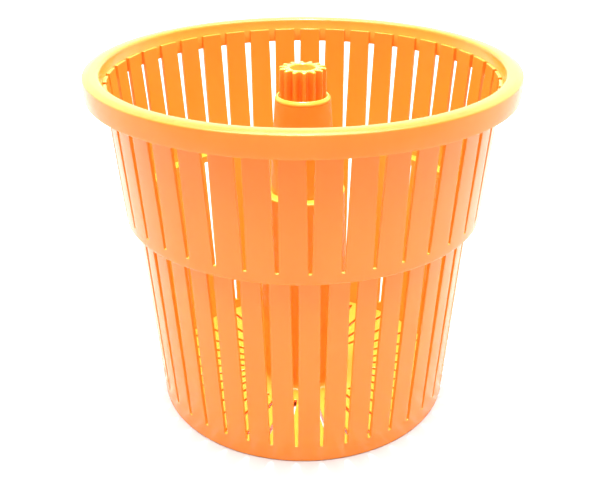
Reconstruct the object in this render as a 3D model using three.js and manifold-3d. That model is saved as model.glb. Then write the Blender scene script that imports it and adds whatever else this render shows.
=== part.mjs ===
// The spinning basket of a salad spinner: a two-tier slotted basket with a hollow centre column,
// a drive pinion on top of the column and a captive pivot bearing in the column's foot.
// Millimetres, +Z up, origin on the spin axis in the plane of the basket's foot.
import * as THREE from 'three';
import { mergeVertices } from 'three/addons/utils/BufferGeometryUtils.js';
import Module from 'manifold-3d';

const wasm = await Module();
wasm.setup();

// ---- driving dimensions ----
const gap = 0.3;                  // clearance left between two pieces that meet
const slotCount = 40;             // slots around each tier and around the floor
const roundSteps = 3;             // straight steps in each rounded stretch of an outline
const wallSegments = 2 * slotCount;
const columnSegments = 36;

const rimTop = 203;
const rimOuterRadius = 118.3;
const rimCrownFoot = 199.3;       // the crown rests on the skirt here
const rimSkirtBottom = 190.5;
const rimSkirtRadius = 118;       // outer radius at the skirt's lower edge
const rimCollarBottom = 188.7;
const rimThickness = 2.3;

const slatTop = 196.8;            // the slats end below the mouth and leave a small ledge
const wallThickness = 2;
const upperTierTopRadius = 107.9; // outer radius at slatTop
const upperTierFootRadius = 101.9;

const stepTop = 121.7;            // shoulder between the two tiers
const stepThickness = 2.2;
const stepRadius = 102.1;
const lowerTierTopRadius = 95.8;

const footBandTop = 8.9;
const footBandTopRadius = 88.1;
const footRadius = 87.5;

const slotTopWidth = 4.3;         // slots narrow downwards
const slotFootWidth = 1.8;
const upperSlotFoot = 125.7;
const lowerSlotFoot = 10.8;
const lowerSlotTop = 117.2;

const floorBottom = 3;
const floorThickness = 2;
const floorSlitWidth = 1.8;
const floorSlitInnerRadius = 38;
const floorSlitOuterRadius = 82;

const hubRadius = 30;             // flared foot of the column
const hubTop = 9.5;
const hubBore = 22.6;
const sleeveThickness = 2;
const wideSleeveFootRadius = 26.3;
const wideSleeveTopRadius = 24.5;
const ledgeTop = 128;
const ledgeThickness = 1.8;
const narrowSleeveFootRadius = 19;
const narrowSleeveTopRadius = 15.8;
const narrowSleeveTop = 180.8;

const collarTop = 184.2;
const collarFloor = 182.2;
const pinionTeeth = 14;
const pinionTipRadius = 13.15;
const pinionRootRadius = 9.5;
const pinionTop = 199.8;
const pinionTurn = 4.3;           // degrees from -Y to the middle of the first tooth
const pinionBoreTopRadius = 7.6;
const pinionBoreRadius = 4.8;
const pinionFunnelDepth = 6;
const pilotCupTop = 188;

const bearingFoot = 6;
const bearingBore = 8.3;
const bearingSleeveRadius = 10.4;
const housingRadius = 13;
const housingTop = 45;
const housingRoof = 2.2;
const thrustPadThickness = 2.5;
const housingRibs = 4;
const ribThickness = 2;
const ribReach = 23.4;
const ribFoot = 10.2;
const pivotFoot = 3;
const pivotTop = 36;
const pivotNeckRadius = 7;        // passes through the retaining ring
const pivotSocketRadius = 5;      // takes the upright point that the basket is set down on
const pivotSocketDepth = 25;
const pivotPinRadius = 3;
const pivotPinHoleFoot = 30;
const retainingRingThickness = 2.5;

// ---- heights and radii that follow from them ----
const stepBottom = stepTop - stepThickness;
const upperWallFoot = stepTop + gap;
const lowerWallTop = stepBottom - gap;
const lowerWallFoot = footBandTop + gap;
const ledgeBottom = ledgeTop - ledgeThickness;
const wideSleeveTop = ledgeBottom - gap;
const wideSleeveFoot = hubTop + gap;
const collarBottom = narrowSleeveTop + gap;
const pinionFoot = collarFloor + gap;
const thrustPadBottom = housingTop - housingRoof - gap - thrustPadThickness;
const slotPitch = 2 * Math.PI / slotCount;
const upperSlotTurn = 0.25 * slotPitch;
const lowerSlotTurn = 0.75 * slotPitch;   // the lower slots sit half a pitch round from the upper

// ---- materials ----
function orangePlastic() {
  return new THREE.MeshStandardMaterial({ color: 0xf58a2e, roughness: 0.28, metalness: 0 });
}

function bearingPlastic() {
  return new THREE.MeshStandardMaterial({ color: 0xf1eee4, roughness: 0.45, metalness: 0 });
}

function pinSteel() {
  return new THREE.MeshStandardMaterial({ color: 0xb9bcc0, roughness: 0.3, metalness: 1 });
}

// ---- helpers ----
function radiusAlong(height, foot, footRad, top, topRad) {
  return footRad + (topRad - footRad) * (height - foot) / (top - foot);
}

function upperWallRadius(height) {
  return radiusAlong(height, stepBottom, upperTierFootRadius, slatTop, upperTierTopRadius);
}

function lowerWallRadius(height) {
  return radiusAlong(height, footBandTop, footBandTopRadius, stepBottom, lowerTierTopRadius);
}

function wideSleeveRadius(height) {
  return radiusAlong(height, hubTop, wideSleeveFootRadius, ledgeTop, wideSleeveTopRadius);
}

function polygon(corners) {
  const path = new THREE.Path();
  path.setFromPoints(corners.map(([radius, height]) => new THREE.Vector2(radius, height)));
  return path;
}

// Turns a radius and height outline, drawn counter-clockwise, about the Z axis.
function revolve(path, segments) {
  const geometry = new THREE.LatheGeometry(path.getPoints(roundSteps), segments);
  geometry.rotateX(Math.PI / 2);
  return geometry;
}

function ring(corners, segments) {
  return revolve(polygon([...corners, corners[0]]), segments);
}

function toSolid(geometry) {
  const bare = geometry.index ? geometry.toNonIndexed() : geometry.clone();
  bare.deleteAttribute('normal');
  bare.deleteAttribute('uv');
  const merged = mergeVertices(bare, 1e-4);
  return new wasm.Manifold(new wasm.Mesh({
    numProp: 3,
    vertProperties: new Float32Array(merged.attributes.position.array),
    triVerts: new Uint32Array(merged.index.array),
  }));
}

function toGeometry(solid) {
  const mesh = solid.getMesh();
  const geometry = new THREE.BufferGeometry();
  geometry.setAttribute('position', new THREE.BufferAttribute(mesh.vertProperties, 3));
  geometry.setIndex(new THREE.BufferAttribute(mesh.triVerts, 1));
  geometry.computeVertexNormals();
  return geometry;
}

// Cuts one copy of the cutter, which lies along -Y, at every pitch from the first turn onwards.
function cutAround(solid, cutter, firstTurn) {
  let result = solid;
  for (let i = 0; i < slotCount; i += 1) {
    const turned = cutter.clone().rotateZ(firstTurn + i * slotPitch);
    result = result.subtract(toSolid(turned));
  }
  return result;
}

// A tapered upright slot, as a wedge that passes radially through a wall on the -Y side.
function slotCutter(foot, footWidth, top, topWidth, radius) {
  const depth = 24;
  const shape = new THREE.Shape();
  shape.moveTo(-footWidth / 2, foot);
  shape.lineTo(footWidth / 2, foot);
  shape.lineTo(topWidth / 2, top);
  shape.lineTo(-topWidth / 2, top);
  shape.closePath();
  const geometry = new THREE.ExtrudeGeometry(shape, { depth, bevelEnabled: false });
  geometry.rotateX(Math.PI / 2);
  geometry.translate(0, -radius + depth / 2, 0);
  return geometry;
}

function part(name, geometry, material) {
  const mesh = new THREE.Mesh(geometry, material);
  mesh.name = name;
  return mesh;
}

// ---- basket shell ----
// Ring around the mouth: domed on top, with a tight outer corner and a steep face down to the slats.
function rimRing() {
  const slatBackTop = upperTierTopRadius + gap;
  const underside = rimTop - rimThickness;
  const path = new THREE.Path();
  path.moveTo(rimOuterRadius, rimCrownFoot);
  path.lineTo(rimOuterRadius, rimTop - 1.8);
  path.quadraticCurveTo(rimOuterRadius, rimTop - 1, rimOuterRadius - 0.9, rimTop - 0.8);
  path.quadraticCurveTo(rimOuterRadius - 2.6, rimTop, rimOuterRadius - 4, rimTop);
  path.lineTo(slatBackTop + 3.2, rimTop);
  path.quadraticCurveTo(slatBackTop + 2.2, rimTop, slatBackTop + 2, rimTop - 1);
  path.lineTo(slatBackTop + 0.8, slatTop);
  path.lineTo(slatBackTop + rimThickness, slatTop);
  path.lineTo(slatBackTop + rimThickness + 1.2, underside);
  path.lineTo(rimOuterRadius - rimThickness, underside);
  path.lineTo(rimOuterRadius - rimThickness, rimCrownFoot);
  path.closePath();
  return part('rim_ring', revolve(path, wallSegments), orangePlastic());
}

// Outer band that hangs from the crown.
function rimSkirt() {
  const top = rimCrownFoot - gap;
  const skirt = ring([
    [rimSkirtRadius - rimThickness, rimSkirtBottom],
    [rimSkirtRadius, rimSkirtBottom],
    [rimOuterRadius, rimSkirtBottom + 4],
    [rimOuterRadius, top],
    [rimOuterRadius - rimThickness, top],
  ], wallSegments);
  return part('rim_skirt', skirt, orangePlastic());
}

// Inner band that hangs from the crown and backs the tops of the slats.
function rimCollar() {
  const top = slatTop - gap;
  const topRadius = upperTierTopRadius + gap;
  const footRad = upperWallRadius(rimCollarBottom) + gap;
  const collar = ring([
    [footRad, rimCollarBottom],
    [footRad + rimThickness, rimCollarBottom],
    [topRadius + rimThickness, top],
    [topRadius, top],
  ], wallSegments);
  return part('rim_collar', collar, orangePlastic());
}

function upperWall() {
  const foot = upperWallRadius(upperWallFoot);
  const shell = ring([
    [foot - wallThickness, upperWallFoot],
    [foot, upperWallFoot],
    [upperTierTopRadius, slatTop],
    [upperTierTopRadius - wallThickness, slatTop],
  ], wallSegments);
  const slotTop = slatTop + 2;
  const cutter = slotCutter(upperSlotFoot, slotFootWidth, slotTop, slotTopWidth, foot);
  const solid = cutAround(toSolid(shell), cutter, upperSlotTurn);
  return part('upper_wall', toGeometry(solid), orangePlastic());
}

function stepRing() {
  const innerRadius = lowerTierTopRadius - wallThickness;
  const path = new THREE.Path();
  path.moveTo(innerRadius, stepBottom);
  path.lineTo(stepRadius - 1.5, stepBottom);
  path.quadraticCurveTo(stepRadius, stepBottom, stepRadius, stepTop);
  path.lineTo(innerRadius, stepTop);
  path.closePath();
  return part('step_ring', revolve(path, wallSegments), orangePlastic());
}

function lowerWall() {
  const foot = lowerWallRadius(lowerWallFoot);
  const top = lowerWallRadius(lowerWallTop);
  const shell = ring([
    [foot - wallThickness, lowerWallFoot],
    [foot, lowerWallFoot],
    [top, lowerWallTop],
    [top - wallThickness, lowerWallTop],
  ], wallSegments);
  const cutter = slotCutter(lowerSlotFoot, slotFootWidth, lowerSlotTop, slotTopWidth, foot);
  const solid = cutAround(toSolid(shell), cutter, lowerSlotTurn);
  return part('lower_wall', toGeometry(solid), orangePlastic());
}

function footBand() {
  const innerTop = footBandTopRadius - wallThickness;
  const innerFoot = footRadius - wallThickness;
  const path = new THREE.Path();
  path.moveTo(innerFoot, 0);
  path.lineTo(footRadius - 1, 0);
  path.quadraticCurveTo(footRadius, 0, footRadius, 1);
  path.lineTo(footBandTopRadius, footBandTop);
  path.lineTo(innerTop, footBandTop);
  path.closePath();
  return part('foot_band', revolve(path, wallSegments), orangePlastic());
}

function floorDisc() {
  const outerRadius = footRadius - wallThickness - gap;
  const plate = ring([
    [hubRadius + gap, floorBottom],
    [outerRadius, floorBottom],
    [outerRadius, floorBottom + floorThickness],
    [hubRadius + gap, floorBottom + floorThickness],
  ], wallSegments);
  const length = floorSlitOuterRadius - floorSlitInnerRadius;
  const slit = new THREE.BoxGeometry(floorSlitWidth, length, 3 * floorThickness);
  slit.translate(0, -(floorSlitInnerRadius + length / 2), floorBottom);
  const solid = cutAround(toSolid(plate), slit, upperSlotTurn);
  return part('floor_disc', toGeometry(solid), orangePlastic());
}

// ---- centre column ----
function columnFoot() {
  const neck = wideSleeveRadius(hubTop);
  const path = new THREE.Path();
  path.moveTo(hubBore, floorBottom);
  path.lineTo(hubRadius, floorBottom);
  path.lineTo(hubRadius, floorBottom + floorThickness);
  path.quadraticCurveTo(neck, floorBottom + floorThickness, neck, hubTop);
  path.lineTo(hubBore, hubTop);
  path.closePath();
  return part('column_foot', revolve(path, columnSegments), orangePlastic());
}

function sleeve(name, footRad, foot, topRad, top) {
  const tube = ring([
    [footRad - sleeveThickness, foot],
    [footRad, foot],
    [topRad, top],
    [topRad - sleeveThickness, top],
  ], columnSegments);
  return part(name, tube, orangePlastic());
}

function columnLedge() {
  const innerRadius = narrowSleeveFootRadius - sleeveThickness;
  const path = new THREE.Path();
  path.moveTo(innerRadius, ledgeBottom);
  path.lineTo(wideSleeveTopRadius, ledgeBottom);
  path.quadraticCurveTo(wideSleeveTopRadius, ledgeTop, wideSleeveTopRadius - 1.2, ledgeTop);
  path.lineTo(innerRadius, ledgeTop);
  path.closePath();
  return part('column_ledge', revolve(path, columnSegments), orangePlastic());
}

// Closes the top of the column and stands up around the teeth as a rounded lip.
function columnCollar() {
  const radius = narrowSleeveTopRadius;
  const lipInner = pinionTipRadius + 0.5;
  const path = new THREE.Path();
  path.moveTo(0, collarBottom);
  path.lineTo(radius, collarBottom);
  path.lineTo(radius, collarBottom + 0.6);
  path.quadraticCurveTo(radius, collarTop, radius - 1.6, collarTop);
  path.lineTo(lipInner + 0.2, collarTop - 0.6);
  path.lineTo(lipInner, collarFloor);
  path.lineTo(0, collarFloor);
  return part('column_collar', revolve(path, columnSegments), orangePlastic());
}

// Rounded straight teeth: a flattened cosine between the root and tip radii.
function toothOutline() {
  const stepsPerTooth = 8;
  const middle = (pinionTipRadius + pinionRootRadius) / 2;
  const reach = (pinionTipRadius - pinionRootRadius) / 2;
  const shape = new THREE.Shape();
  for (let i = 0; i < pinionTeeth * stepsPerTooth; i += 1) {
    const turn = (i + 0.5) / stepsPerTooth;
    const wave = THREE.MathUtils.clamp(1.3 * Math.cos(2 * Math.PI * turn), -1, 1);
    const radius = middle + reach * wave;
    const angle = turn * 2 * Math.PI / pinionTeeth - Math.PI / 2;
    const x = radius * Math.cos(angle);
    const y = radius * Math.sin(angle);
    if (i === 0) {
      shape.moveTo(x, y);
    } else {
      shape.lineTo(x, y);
    }
  }
  shape.closePath();
  return shape;
}

function drivePinion() {
  const height = pinionTop - pinionFoot;
  const blank = new THREE.ExtrudeGeometry(toothOutline(), { depth: height, bevelEnabled: false });
  blank.translate(0, 0, pinionFoot);
  const overrun = 1;
  const bore = revolve(polygon([
    [0, pinionFoot - overrun],
    [pinionBoreRadius, pinionFoot - overrun],
    [pinionBoreRadius, pinionTop - pinionFunnelDepth],
    [pinionBoreTopRadius, pinionTop],
    [pinionBoreTopRadius, pinionTop + overrun],
    [0, pinionTop + overrun],
  ]), columnSegments);
  const solid = toSolid(blank).subtract(toSolid(bore));
  const pinion = part('drive_pinion', toGeometry(solid), orangePlastic());
  pinion.rotation.z = THREE.MathUtils.degToRad(pinionTurn);
  return pinion;
}

// Dished seat at the bottom of the pinion's bore, which centres the pin of the lid's drive.
function pilotCup() {
  const radius = pinionBoreRadius - gap;
  const path = polygon([
    [0, pinionFoot],
    [radius, pinionFoot],
    [radius, pilotCupTop],
    [radius - 1.2, pilotCupTop],
    [radius - 2.6, pinionFoot + 2],
    [0, pinionFoot + 2],
  ]);
  return part('pilot_cup', revolve(path, columnSegments), orangePlastic());
}

// ---- pivot bearing in the column's foot ----
function bearingHousing() {
  const bore = bearingSleeveRadius + gap;
  const tube = revolve(polygon([
    [0, housingTop - housingRoof],
    [bore, housingTop - housingRoof],
    [bore, bearingFoot],
    [housingRadius, bearingFoot],
    [housingRadius, housingTop],
    [0, housingTop],
  ]), columnSegments);
  let solid = toSolid(tube);
  const ribRoot = housingRadius - 1;
  const ribHeight = housingTop - ribFoot;
  for (let i = 0; i < housingRibs; i += 1) {
    const rib = new THREE.BoxGeometry(ribReach - ribRoot, ribThickness, ribHeight);
    rib.translate((ribReach + ribRoot) / 2, 0, ribFoot + ribHeight / 2);
    rib.rotateZ((i + 0.5) * 2 * Math.PI / housingRibs);
    solid = solid.add(toSolid(rib));
  }
  return part('bearing_housing', toGeometry(solid), orangePlastic());
}

function bearingSleeve() {
  const top = thrustPadBottom - gap;
  const tube = ring([
    [bearingBore, bearingFoot],
    [bearingSleeveRadius, bearingFoot],
    [bearingSleeveRadius, top],
    [bearingBore, top],
  ], columnSegments);
  return part('bearing_sleeve', tube, bearingPlastic());
}

function thrustPad() {
  const path = polygon([
    [0, thrustPadBottom],
    [bearingSleeveRadius, thrustPadBottom],
    [bearingSleeveRadius, thrustPadBottom + thrustPadThickness],
    [0, thrustPadBottom + thrustPadThickness],
  ]);
  return part('thrust_pad', revolve(path, columnSegments), bearingPlastic());
}

function retainingRing() {
  const top = bearingFoot - gap;
  const tube = ring([
    [pivotNeckRadius + gap, top - retainingRingThickness],
    [housingRadius, top - retainingRingThickness],
    [housingRadius, top],
    [pivotNeckRadius + gap, top],
  ], columnSegments);
  return part('retaining_ring', tube, bearingPlastic());
}

function pivotCup() {
  const radius = bearingBore - gap;
  const socketTop = pivotFoot + pivotSocketDepth;
  const shoulder = bearingFoot + gap;
  const path = polygon([
    [0, socketTop],
    [pivotSocketRadius, socketTop],
    [pivotSocketRadius, pivotFoot],
    [pivotNeckRadius, pivotFoot],
    [pivotNeckRadius, shoulder],
    [radius, shoulder],
    [radius, pivotTop],
    [pivotPinRadius + gap, pivotTop],
    [pivotPinRadius + gap, pivotPinHoleFoot],
    [0, pivotPinHoleFoot],
  ]);
  return part('pivot_cup', revolve(path, columnSegments), bearingPlastic());
}

function pivotPin() {
  const foot = pivotPinHoleFoot + gap;
  const tip = thrustPadBottom - gap;
  const path = new THREE.Path();
  path.moveTo(0, foot);
  path.lineTo(pivotPinRadius, foot);
  path.lineTo(pivotPinRadius, tip - 2);
  path.quadraticCurveTo(pivotPinRadius, tip, 0, tip);
  return part('pivot_pin', revolve(path, columnSegments), pinSteel());
}

// ---- assembly ----
const basket = new THREE.Group();
basket.add(rimRing(), rimSkirt(), rimCollar(), upperWall(), stepRing(), lowerWall(), footBand(), floorDisc());
basket.add(columnFoot());
basket.add(sleeve('column_lower', wideSleeveRadius(wideSleeveFoot), wideSleeveFoot,
  wideSleeveRadius(wideSleeveTop), wideSleeveTop));
basket.add(columnLedge());
basket.add(sleeve('column_upper', narrowSleeveFootRadius, ledgeTop + gap,
  narrowSleeveTopRadius, narrowSleeveTop));
basket.add(columnCollar(), drivePinion(), pilotCup());
basket.add(bearingHousing(), bearingSleeve(), thrustPad(), retainingRing());

const pivot = new THREE.Group();
pivot.add(pivotCup(), pivotPin());

const spinner = new THREE.Group();
spinner.add(basket, pivot);

export default spinner;
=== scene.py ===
import math

import bmesh
import bpy
from mathutils import Matrix, Vector


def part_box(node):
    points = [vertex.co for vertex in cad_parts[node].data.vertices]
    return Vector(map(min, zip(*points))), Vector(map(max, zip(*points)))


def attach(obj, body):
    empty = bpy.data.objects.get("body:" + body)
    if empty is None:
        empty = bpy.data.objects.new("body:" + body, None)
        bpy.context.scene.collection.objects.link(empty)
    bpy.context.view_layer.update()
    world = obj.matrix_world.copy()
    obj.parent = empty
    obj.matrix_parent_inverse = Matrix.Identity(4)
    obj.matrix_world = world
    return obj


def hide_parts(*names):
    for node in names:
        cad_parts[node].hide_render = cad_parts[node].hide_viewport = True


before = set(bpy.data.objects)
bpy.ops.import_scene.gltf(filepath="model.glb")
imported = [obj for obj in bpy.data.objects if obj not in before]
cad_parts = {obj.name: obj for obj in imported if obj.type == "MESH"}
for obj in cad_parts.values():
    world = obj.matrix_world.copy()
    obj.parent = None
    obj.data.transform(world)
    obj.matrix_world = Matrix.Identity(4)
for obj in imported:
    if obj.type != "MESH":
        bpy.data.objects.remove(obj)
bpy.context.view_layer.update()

# Looks of a salad spinner's basket: one glossy orange moulding, built smooth over its CAD frame.
# Metres, the frame's own axes. Radii and heights come from the CAD nodes' boxes.

MM = 0.001
ROUND_STEPS = 6               # straight steps in each rounded stretch of an outline
RING_STEPS = 240              # steps around the basket: six to a slat
COLUMN_STEPS = 96
SLOTS = 40
PITCH = 2 * math.pi / SLOTS
WALL = 2.0 * MM
EDGE = 0.3 * MM               # rounding along the slot edges


def low(node):
    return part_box(node)[0].z


def high(node):
    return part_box(node)[1].z


def reach(node):
    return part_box(node)[1].x


# ---- outlines and turned pieces ----
class Outline:
    """A radius and height outline of straight lines and quadratic curves."""

    def __init__(self, radius, height):
        self.points = [(radius, height)]

    def line(self, radius, height):
        self.points.append((radius, height))
        return self

    def curve(self, control_radius, control_height, radius, height):
        start_radius, start_height = self.points[-1]
        for i in range(1, ROUND_STEPS + 1):
            t = i / ROUND_STEPS
            a, b, c = (1 - t) ** 2, 2 * t * (1 - t), t * t
            self.points.append((a * start_radius + b * control_radius + c * radius,
                                a * start_height + b * control_height + c * height))
        return self


def around(radius, angle, height):
    """A point at an angle counted from -Y towards +X."""
    return Vector((radius * math.sin(angle), -radius * math.cos(angle), height))


def mesh_object(name, bm, material, nodes):
    bmesh.ops.recalc_face_normals(bm, faces=bm.faces)
    mesh = bpy.data.meshes.new(name)
    bm.to_mesh(mesh)
    bm.free()
    mesh.shade_smooth()
    mesh.materials.append(material)
    piece = bpy.data.objects.new(name, mesh)
    bpy.context.scene.collection.objects.link(piece)
    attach(piece, "basket")
    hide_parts(*nodes)
    return piece


def turned(name, outline, steps, material, nodes):
    """Turns an outline about the spin axis. It closes on itself, or starts and ends on the axis."""
    bm = bmesh.new()
    points = outline.points
    open_ends = points[0][0] == 0
    rings = []
    for radius, height in points:
        if radius == 0:
            rings.append([bm.verts.new((0, 0, height))] * steps)
        else:
            angles = [2 * math.pi * i / steps for i in range(steps)]
            rings.append([bm.verts.new(around(radius, angle, height)) for angle in angles])
    pairs = list(zip(rings, rings[1:]))
    if not open_ends:
        pairs.append((rings[-1], rings[0]))
    for first, second in pairs:
        for i in range(steps):
            j = (i + 1) % steps
            corners = []
            for vertex in (first[i], first[j], second[j], second[i]):
                if vertex not in corners:
                    corners.append(vertex)
            bm.faces.new(corners)
    piece = mesh_object(name, bm, material, nodes)
    piece.data.set_sharp_from_angle(angle=math.radians(40))
    return piece


def soften(piece, width, limit=45):
    bevel = piece.modifiers.new("rounded edges", "BEVEL")
    bevel.width = width
    bevel.segments = 2
    bevel.limit_method = "ANGLE"
    bevel.angle_limit = math.radians(limit)
    bevel.harden_normals = False
    normals = piece.modifiers.new("even shading", "WEIGHTED_NORMAL")
    normals.keep_sharp = False


# ---- slotted walls and floor ----
def slotted_sheet(name, rows, slot_rows, half_angle, point, first_turn, material, nodes):
    """A closed sheet of even thickness with one slot in every pitch.

    rows are the places along the slots, and slot_rows the first and last row of the slots.
    half_angle(row) is half a slot's width as an angle, and point(side, row, angle) a corner on
    side 0 or 1 of the sheet. A slot that reaches the first or last row is open there."""
    slat_steps = 6
    columns = slat_steps + 1
    bm = bmesh.new()

    def column_angle(row, column):
        slot, place = divmod(column, columns)
        centre = first_turn + slot * PITCH
        half = half_angle(row)
        if place == 0:
            return centre - half
        return centre + half + (PITCH - 2 * half) * (place - 1) / slat_steps

    count = columns * SLOTS
    grid = [[[bm.verts.new(point(side, row, column_angle(row, c))) for c in range(count)]
             for row in rows] for side in (0, 1)]
    first_slot, last_slot = slot_rows
    final = len(rows) - 1

    def is_cut(r, c):
        return c % columns == 0 and first_slot <= r < last_slot

    for c in range(count):
        d = (c + 1) % count
        for r in range(final):
            if is_cut(r, c):
                for edge in (c, d):
                    bm.faces.new((grid[0][r][edge], grid[0][r + 1][edge],
                                  grid[1][r + 1][edge], grid[1][r][edge]))
                continue
            for side in (0, 1):
                bm.faces.new((grid[side][r][c], grid[side][r][d], grid[side][r + 1][d], grid[side][r + 1][c]))
        for r, beside in ((0, 0), (final, final - 1)):
            if not is_cut(beside, c):
                bm.faces.new((grid[0][r][c], grid[0][r][d], grid[1][r][d], grid[1][r][c]))
        if c % columns == 0:
            for r in (first_slot, last_slot):
                if 0 < r < final:
                    bm.faces.new((grid[0][r][c], grid[0][r][d], grid[1][r][d], grid[1][r][c]))
    piece = mesh_object(name, bm, material, nodes)
    soften(piece, EDGE)
    return piece


def spread(start, end, steps):
    return [start + (end - start) * i / steps for i in range(steps + 1)]


# ---- materials ----
def new_material(name):
    material = bpy.data.materials.new(name)
    material.use_nodes = True
    nodes = material.node_tree.nodes
    return material, nodes, material.node_tree.links, nodes["Principled BSDF"]


def noise(nodes, links, scale, detail, stretch=(1, 1, 1)):
    coordinates = nodes.new("ShaderNodeTexCoord")
    mapping = nodes.new("ShaderNodeMapping")
    mapping.inputs["Scale"].default_value = stretch
    texture = nodes.new("ShaderNodeTexNoise")
    texture.inputs["Scale"].default_value = scale
    texture.inputs["Detail"].default_value = detail
    links.new(coordinates.outputs["Object"], mapping.inputs["Vector"])
    links.new(mapping.outputs["Vector"], texture.inputs["Vector"])
    return texture.outputs["Fac"]


def blend_colours(nodes, links, factor, first, second, low_stop=0.3, high_stop=0.7):
    ramp = nodes.new("ShaderNodeValToRGB")
    ramp.color_ramp.elements[0].position = low_stop
    ramp.color_ramp.elements[0].color = (*first, 1)
    ramp.color_ramp.elements[1].position = high_stop
    ramp.color_ramp.elements[1].color = (*second, 1)
    links.new(factor, ramp.inputs["Fac"])
    return ramp.outputs["Color"]


def mapped(nodes, links, value, low_value, high_value):
    remap = nodes.new("ShaderNodeMapRange")
    remap.inputs["From Min"].default_value = 0.3
    remap.inputs["From Max"].default_value = 0.7
    remap.inputs["To Min"].default_value = low_value
    remap.inputs["To Max"].default_value = high_value
    links.new(value, remap.inputs["Value"])
    return remap.outputs["Result"]


def bumped(nodes, links, shader, height, strength, distance):
    bump = nodes.new("ShaderNodeBump")
    bump.inputs["Strength"].default_value = strength
    bump.inputs["Distance"].default_value = distance
    links.new(height, bump.inputs["Height"])
    links.new(bump.outputs["Normal"], shader.inputs["Normal"])


def orange_plastic():
    """Glossy moulded plastic that lets some light through, with faint flow streaks and a fine skin."""
    material, nodes, links, shader = new_material("orange_plastic")
    streaks = noise(nodes, links, 9, 4, stretch=(6, 6, 1))
    colour = blend_colours(nodes, links, streaks, (0.92, 0.240, 0.024), (0.94, 0.258, 0.029))
    links.new(colour, shader.inputs["Base Color"])
    skin = noise(nodes, links, 160, 3)
    links.new(mapped(nodes, links, skin, 0.16, 0.24), shader.inputs["Roughness"])
    bumped(nodes, links, shader, noise(nodes, links, 420, 2), 0.03, 0.0002)
    shader.inputs["IOR"].default_value = 1.42
    shader.inputs["Subsurface Weight"].default_value = 0.4
    shader.inputs["Subsurface Radius"].default_value = (1.0, 0.6, 0.2)
    shader.inputs["Subsurface Scale"].default_value = 0.004
    return material


def bearing_plastic():
    material, nodes, links, shader = new_material("bearing_plastic")
    cloud = noise(nodes, links, 40, 3)
    colour = blend_colours(nodes, links, cloud, (0.78, 0.75, 0.68), (0.85, 0.83, 0.77))
    links.new(colour, shader.inputs["Base Color"])
    links.new(mapped(nodes, links, noise(nodes, links, 300, 2), 0.38, 0.52), shader.inputs["Roughness"])
    bumped(nodes, links, shader, noise(nodes, links, 700, 2), 0.08, 0.0002)
    return material


def pin_steel():
    material, nodes, links, shader = new_material("pin_steel")
    rings = noise(nodes, links, 30, 2, stretch=(1, 1, 60))
    colour = blend_colours(nodes, links, rings, (0.5, 0.5, 0.51), (0.66, 0.66, 0.67))
    links.new(colour, shader.inputs["Base Color"])
    links.new(mapped(nodes, links, rings, 0.2, 0.38), shader.inputs["Roughness"])
    shader.inputs["Metallic"].default_value = 1
    return material


def ramp_along_y(nodes, links, coordinate, start, start_value, end, end_value):
    """A value that changes smoothly with the Y of a texture coordinate."""
    coordinates = nodes.new("ShaderNodeTexCoord")
    split = nodes.new("ShaderNodeSeparateXYZ")
    remap = nodes.new("ShaderNodeMapRange")
    remap.interpolation_type = "SMOOTHSTEP"
    remap.inputs["From Min"].default_value = start
    remap.inputs["From Max"].default_value = end
    remap.inputs["To Min"].default_value = start_value
    remap.inputs["To Max"].default_value = end_value
    links.new(coordinates.outputs[coordinate], split.inputs["Vector"])
    links.new(split.outputs["Y"], remap.inputs["Value"])
    return remap.outputs["Result"]


def pale_floor():
    """Pale sweep with painted shade: a little darker in front, where the basket's front mirrors it."""
    material, nodes, links, shader = new_material("pale_floor")
    cloud = blend_colours(nodes, links, noise(nodes, links, 3, 2), (0.98, 0.975, 0.97), (1.0, 0.998, 0.995))
    # painted shade: the floor's colour is scaled down towards the front (-Y), so the basket's front mirrors a
    # darker floor
    shade = ramp_along_y(nodes, links, "Object", start=-0.5, start_value=0.34, end=-0.22, end_value=0.64)
    shaded_floor_colour = nodes.new("ShaderNodeVectorMath")
    shaded_floor_colour.operation = "SCALE"
    links.new(cloud, shaded_floor_colour.inputs[0])
    links.new(shade, shaded_floor_colour.inputs["Scale"])
    links.new(shaded_floor_colour.outputs["Vector"], shader.inputs["Base Color"])
    shader.inputs["Roughness"].default_value = 0.8
    return material


ORANGE = orange_plastic()

# ---- basket shell ----
RIM_RADIUS = reach("rim_ring")
RIM_TOP = high("rim_ring")
SKIRT_FOOT = low("rim_skirt")
RIM_COLLAR_FOOT = low("rim_collar")
SLAT_TOP = high("upper_wall")
SLAT_TOP_RADIUS = reach("upper_wall")
STEP_RADIUS = reach("step_ring")
STEP_TOP = high("step_ring")
STEP_FOOT = low("step_ring")
LOWER_TOP_RADIUS = reach("lower_wall")
BAND_RADIUS = reach("foot_band")
BAND_TOP = high("foot_band")
FLOOR_TOP = high("floor_disc")
FLOOR_FOOT = low("floor_disc")
FLOOR_RADIUS = reach("floor_disc")
SLOT_TOP_WIDTH = 4.3 * MM
SLOT_FOOT_WIDTH = 1.8 * MM
UPPER_SLOT_FOOT = STEP_TOP + 4 * MM
LOWER_SLOT_FOOT = BAND_TOP + 1.9 * MM
LOWER_SLOT_TOP = STEP_FOOT - 2.4 * MM


def along(value, start, start_value, end, end_value):
    return start_value + (end_value - start_value) * (value - start) / (end - start)


def upper_radius(height):
    return along(height, STEP_FOOT, STEP_RADIUS - 0.2 * MM, SLAT_TOP, SLAT_TOP_RADIUS)


def lower_radius(height):
    return along(height, BAND_TOP, BAND_RADIUS, STEP_FOOT, LOWER_TOP_RADIUS)


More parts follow.
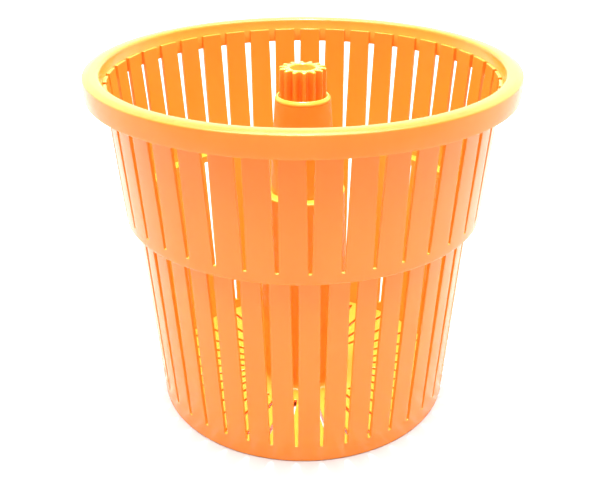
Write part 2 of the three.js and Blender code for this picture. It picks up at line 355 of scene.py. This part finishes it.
def rim():
    skirt_radius = RIM_RADIUS - 0.4 * MM
    back_top = SLAT_TOP_RADIUS
    back_foot = upper_radius(RIM_COLLAR_FOOT)
    thick = 2.3 * MM
    edge = 0.4 * MM
    outline = Outline(skirt_radius - thick + edge, SKIRT_FOOT)
    outline.line(skirt_radius - edge, SKIRT_FOOT)
    outline.curve(skirt_radius, SKIRT_FOOT, skirt_radius + 0.05 * MM, SKIRT_FOOT + edge)
    outline.curve(RIM_RADIUS, SKIRT_FOOT + 3 * MM, RIM_RADIUS, SKIRT_FOOT + 6 * MM)
    outline.line(RIM_RADIUS - 0.1 * MM, RIM_TOP - 1.8 * MM)
    outline.curve(RIM_RADIUS - 0.15 * MM, RIM_TOP - 1.1 * MM, RIM_RADIUS - 0.9 * MM, RIM_TOP - 0.9 * MM)
    outline.curve(RIM_RADIUS - 2.4 * MM, RIM_TOP - 0.2 * MM, RIM_RADIUS - 4 * MM, RIM_TOP)
    outline.line(back_top + 3.6 * MM, RIM_TOP - 0.1 * MM)
    outline.curve(back_top + 1.6 * MM, RIM_TOP - 0.2 * MM, back_top + 1.2 * MM, RIM_TOP - 2 * MM)
    outline.line(back_top + 0.3 * MM, SLAT_TOP + 0.2 * MM)
    outline.line(back_top, SLAT_TOP - 0.2 * MM)
    outline.line(back_foot, RIM_COLLAR_FOOT + edge)
    outline.curve(back_foot, RIM_COLLAR_FOOT, back_foot + edge, RIM_COLLAR_FOOT)
    outline.line(back_foot + thick, RIM_COLLAR_FOOT)
    outline.line(back_top + thick, SLAT_TOP - 1 * MM)
    outline.curve(back_top + thick, RIM_TOP - thick, back_top + 5 * MM, RIM_TOP - thick)
    outline.line(RIM_RADIUS - 5 * MM, RIM_TOP - thick)
    outline.curve(RIM_RADIUS - thick, RIM_TOP - thick, RIM_RADIUS - thick, RIM_TOP - 5 * MM)
    turned("rim", outline, RING_STEPS, ORANGE, ["rim_ring", "rim_skirt", "rim_collar"])


def upper_wall():
    rows = [STEP_FOOT + 1.6 * MM, STEP_FOOT + 3 * MM] + spread(UPPER_SLOT_FOOT, SLAT_TOP, 10)

    def half_angle(height):
        width = along(height, UPPER_SLOT_FOOT, SLOT_FOOT_WIDTH, SLAT_TOP, SLOT_TOP_WIDTH)
        return max(width, SLOT_FOOT_WIDTH) / 2 / upper_radius(height)

    def point(side, height, angle):
        return around(upper_radius(height) - side * WALL, angle, height)

    slotted_sheet("upper_slats", rows, (2, len(rows) - 1), half_angle, point,
                  0.25 * PITCH, ORANGE, ["upper_wall"])


def step():
    inner = LOWER_TOP_RADIUS - WALL
    wall = upper_radius(STEP_TOP)
    outline = Outline(inner + 0.5 * MM, STEP_FOOT)
    outline.line(STEP_RADIUS - 1.6 * MM, STEP_FOOT)
    outline.curve(STEP_RADIUS - 0.1 * MM, STEP_FOOT, STEP_RADIUS - 0.1 * MM, STEP_FOOT + 1.5 * MM)
    outline.line(wall, STEP_TOP)
    outline.line(wall - WALL - 1.4 * MM, STEP_TOP)
    outline.line(inner + 0.8 * MM, STEP_TOP)
    outline.curve(inner, STEP_TOP, inner, STEP_TOP - 0.8 * MM)
    outline.line(inner, STEP_FOOT + 0.3 * MM)
    turned("step", outline, RING_STEPS, ORANGE, ["step_ring"])


def lower_wall():
    top = STEP_FOOT + 0.8 * MM
    foot = BAND_TOP - 0.4 * MM
    rows = [foot] + spread(LOWER_SLOT_FOOT, LOWER_SLOT_TOP, 12) + [top]

    def half_angle(height):
        width = along(height, LOWER_SLOT_FOOT, SLOT_FOOT_WIDTH, LOWER_SLOT_TOP, SLOT_TOP_WIDTH)
        return min(max(width, SLOT_FOOT_WIDTH), SLOT_TOP_WIDTH) / 2 / lower_radius(height)

    def point(side, height, angle):
        return around(lower_radius(height) - side * WALL, angle, height)

    slotted_sheet("lower_slats", rows, (1, len(rows) - 2), half_angle, point,
                  0.75 * PITCH, ORANGE, ["lower_wall"])


def foot_band():
    foot_radius = BAND_RADIUS - 0.6 * MM
    outline = Outline(foot_radius - WALL + 0.4 * MM, 0)
    outline.line(foot_radius - 1.2 * MM, 0)
    outline.curve(foot_radius, 0, foot_radius + 0.1 * MM, 1.3 * MM)
    outline.curve(BAND_RADIUS - 0.3 * MM, 6 * MM, BAND_RADIUS, BAND_TOP)
    outline.line(BAND_RADIUS - WALL, BAND_TOP)
    outline.line(foot_radius - WALL, 0.4 * MM)
    turned("foot_band_piece", outline, RING_STEPS, ORANGE, ["foot_band"])


def floor():
    slit_inner, slit_outer = 38 * MM, 82 * MM
    slit_half = 0.9 * MM
    hub = reach("column_foot")
    rows = [hub - 2 * MM, hub + 2 * MM] + spread(slit_inner, slit_outer, 5) + [FLOOR_RADIUS]

    def half_angle(radius):
        return math.asin(slit_half / max(radius, slit_inner))

    def point(side, radius, angle):
        return around(radius, angle, FLOOR_TOP if side == 0 else FLOOR_FOOT)

    slotted_sheet("slotted_floor", rows, (2, len(rows) - 2), half_angle, point,
                  0.25 * PITCH, ORANGE, ["floor_disc"])


# ---- centre column ----
HUB_RADIUS = reach("column_foot")
HUB_TOP = high("column_foot")
WIDE_FOOT_RADIUS = reach("column_lower")
LEDGE_RADIUS = reach("column_ledge")
LEDGE_TOP = high("column_ledge")
NARROW_FOOT_RADIUS = reach("column_upper")
COLLAR_RADIUS = reach("column_collar")
COLLAR_TOP = high("column_collar")
COLLAR_FOOT = low("column_collar")


def column_foot():
    bore = WIDE_FOOT_RADIUS - 3.6 * MM
    outline = Outline(bore, FLOOR_FOOT)
    outline.line(HUB_RADIUS, FLOOR_FOOT)
    outline.line(HUB_RADIUS, FLOOR_TOP)
    outline.curve(WIDE_FOOT_RADIUS + 0.1 * MM, FLOOR_TOP, WIDE_FOOT_RADIUS, HUB_TOP)
    outline.line(bore, HUB_TOP)
    turned("column_flare", outline, COLUMN_STEPS, ORANGE, ["column_foot"])


def column_lower():
    foot = HUB_TOP - 0.1 * MM
    top = LEDGE_TOP - 1.2 * MM
    outline = Outline(WIDE_FOOT_RADIUS - WALL, foot)
    outline.line(WIDE_FOOT_RADIUS, foot)
    outline.line(LEDGE_RADIUS, top)
    outline.line(LEDGE_RADIUS - WALL, top)
    turned("column_wide_sleeve", outline, COLUMN_STEPS, ORANGE, ["column_lower"])


def column_ledge():
    inner = NARROW_FOOT_RADIUS - WALL
    outline = Outline(inner, LEDGE_TOP - 1.8 * MM)
    outline.line(LEDGE_RADIUS, LEDGE_TOP - 1.8 * MM)
    outline.line(LEDGE_RADIUS, LEDGE_TOP - 1.2 * MM)
    outline.curve(LEDGE_RADIUS, LEDGE_TOP, LEDGE_RADIUS - 1.2 * MM, LEDGE_TOP)
    outline.line(inner, LEDGE_TOP)
    turned("column_shoulder", outline, COLUMN_STEPS, ORANGE, ["column_ledge"])


def column_upper():
    foot = LEDGE_TOP - 0.1 * MM
    outline = Outline(NARROW_FOOT_RADIUS - WALL, foot)
    outline.line(NARROW_FOOT_RADIUS, foot + 0.4 * MM)
    outline.line(COLLAR_RADIUS, COLLAR_FOOT)
    outline.line(COLLAR_RADIUS - WALL, COLLAR_FOOT)
    turned("column_narrow_sleeve", outline, COLUMN_STEPS, ORANGE, ["column_upper"])


def collar():
    floor_height = low("drive_pinion") - 0.1 * MM
    crest = COLLAR_RADIUS - 1.6 * MM
    outline = Outline(0, COLLAR_FOOT)
    outline.line(COLLAR_RADIUS - 0.3 * MM, COLLAR_FOOT)
    outline.line(COLLAR_RADIUS - 0.1 * MM, COLLAR_FOOT + 0.3 * MM)
    outline.curve(COLLAR_RADIUS, COLLAR_FOOT + 1.7 * MM, COLLAR_RADIUS - 0.7 * MM, COLLAR_TOP - 0.9 * MM)
    outline.curve(COLLAR_RADIUS - 1.1 * MM, COLLAR_TOP - 0.2 * MM, crest, COLLAR_TOP)
    outline.curve(crest - 0.6 * MM, COLLAR_TOP, crest - 0.7 * MM, floor_height + 0.8 * MM)
    outline.curve(crest - 0.8 * MM, floor_height, crest - 1.2 * MM, floor_height)
    outline.line(0, floor_height)
    turned("column_lip", outline, COLUMN_STEPS, ORANGE, ["column_collar"])


def pinion():
    """Straight rounded teeth with a softened top edge and a dished bore."""
    teeth, steps_per_tooth = 14, 16
    first_tooth = math.radians(4.3)
    foot, top = low("drive_pinion"), high("drive_pinion")
    tip = 13.15 * MM
    root = 9.5 * MM
    funnel_top, bore, funnel_depth = 7.6 * MM, 4.8 * MM, 6 * MM
    softening = 0.9 * MM
    steps = teeth * steps_per_tooth

    def tooth_radius(angle):
        wave = 1.3 * math.cos(teeth * (angle - first_tooth))
        wave = max(-1, min(1, wave))
        return (tip + root) / 2 + (tip - root) / 2 * wave

    def toothed_ring(inset, height):
        return [(tooth_radius(2 * math.pi * i / steps) - inset, height) for i in range(steps)]

    def plain_ring(radius, height):
        return [(radius, height)] * steps

    rings = [toothed_ring(0, foot)]
    rings += [toothed_ring(0, z) for z in spread(foot + 1 * MM, top - softening, 3)]
    for i in range(1, 5):
        turn = math.pi / 2 * i / 4
        rings.append(toothed_ring(softening * (1 - math.cos(turn)), top - softening * (1 - math.sin(turn))))
    for i in range(0, 5):
        turn = math.pi / 2 * i / 4
        drop = softening * (1 - math.cos(turn))
        rings.append(plain_ring(funnel_top - 0.6 * MM + softening * (1 - math.sin(turn)), top - drop))
    rings.append(plain_ring(bore + 0.4 * MM, top - funnel_depth))
    rings.append(plain_ring(bore, top - funnel_depth - 1 * MM))
    rings.append(plain_ring(bore, foot))
    bm = bmesh.new()
    vertices = [[bm.verts.new(around(radius, 2 * math.pi * i / steps, height))
                 for i, (radius, height) in enumerate(ring)] for ring in rings]
    for first, second in zip(vertices, vertices[1:] + vertices[:1]):
        for i in range(steps):
            j = (i + 1) % steps
            bm.faces.new((first[i], first[j], second[j], second[i]))
    piece = mesh_object("toothed_pinion", bm, ORANGE, ["drive_pinion"])
    piece.data.set_sharp_from_angle(angle=math.radians(60))


def pilot():
    radius = reach("pilot_cup") + 0.25 * MM
    foot, top = low("pilot_cup"), high("pilot_cup")
    outline = Outline(0, foot)
    outline.line(radius, foot)
    outline.line(radius, top)
    outline.curve(radius - 1.6 * MM, top, radius - 2.6 * MM, foot + 2.4 * MM)
    outline.curve(radius - 3.2 * MM, foot + 2 * MM, 0, foot + 2 * MM)
    turned("pin_seat", outline, COLUMN_STEPS, ORANGE, ["pilot_cup"])


# ---- bearing in the column's foot: CAD nodes with their own looks ----
def dress_bearing():
    white = bearing_plastic()
    steel = pin_steel()
    looks = {"bearing_housing": ORANGE, "bearing_sleeve": white, "thrust_pad": white,
             "retaining_ring": white, "pivot_cup": white, "pivot_pin": steel}
    for node, material in looks.items():
        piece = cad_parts[node]
        piece.data.materials.clear()
        piece.data.materials.append(material)
        soften(piece, 0.25 * MM, limit=35)


# ---- studio ----
def stage():
    bm = bmesh.new()
    bmesh.ops.create_grid(bm, x_segments=4, y_segments=4, size=6)
    mesh = bpy.data.meshes.new("studio_floor")
    bm.to_mesh(mesh)
    bm.free()
    mesh.materials.append(pale_floor())
    ground = bpy.data.objects.new("studio_floor", mesh)
    bpy.context.scene.collection.objects.link(ground)


def hang(light, height):
    """Hangs a light on the spin axis, pointing straight down and unseen by the camera."""
    lamp = bpy.data.objects.new(light.name, light)
    bpy.context.scene.collection.objects.link(lamp)
    lamp.location = (0, 0, height)
    lamp.visible_camera = False


def lights():
    """A bright back and a dimmer front, wide soft light overhead, and a spot that fills the inside."""
    world = bpy.data.worlds.new("studio")
    bpy.context.scene.world = world
    world.use_nodes = True
    nodes, links = world.node_tree.nodes, world.node_tree.links
    background = nodes["Background"]
    background.inputs["Color"].default_value = (1, 0.99, 0.98, 1)
    strength = ramp_along_y(nodes, links, "Generated", start=-0.1, start_value=0.6, end=0.6, end_value=2.2)
    links.new(strength, background.inputs["Strength"])
    ceiling = bpy.data.lights.new("studio_ceiling", "SUN")
    ceiling.energy = 6.8
    ceiling.angle = math.radians(60)
    hang(ceiling, 2)
    mouth = bpy.data.lights.new("spot_into_mouth", "SPOT")
    mouth.spot_size = math.radians(28)   # narrow enough to pass inside the rim without lighting it
    mouth.spot_blend = 0.2
    mouth.shadow_soft_size = 0.03
    mouth.energy = 28
    hang(mouth, 0.62)


def camera():
    distance, height = 0.4682, 0.3262
    turn = 0.04 * PITCH
    pitch = 0.436
    roll = -0.003
    data = bpy.data.cameras.new("camera")
    data.lens = 52.25
    data.sensor_width = 36
    data.shift_x = -0.0052
    data.shift_y = -0.0359
    view = bpy.data.objects.new("camera", data)
    bpy.context.scene.collection.objects.link(view)
    looking = Matrix.Rotation(math.pi / 2 - pitch, 4, "X") @ Matrix.Rotation(roll, 4, "Z")
    place = Matrix.Translation((0, -distance, height))
    view.matrix_world = Matrix.Rotation(turn, 4, "Z") @ place @ looking
    bpy.context.scene.camera = view


rim()
upper_wall()
step()
lower_wall()
foot_band()
floor()
column_foot()
column_lower()
column_ledge()
column_upper()
collar()
pinion()
pilot()
dress_bearing()
stage()
lights()
camera()
bpy.context.scene.view_settings.view_transform = "Standard"
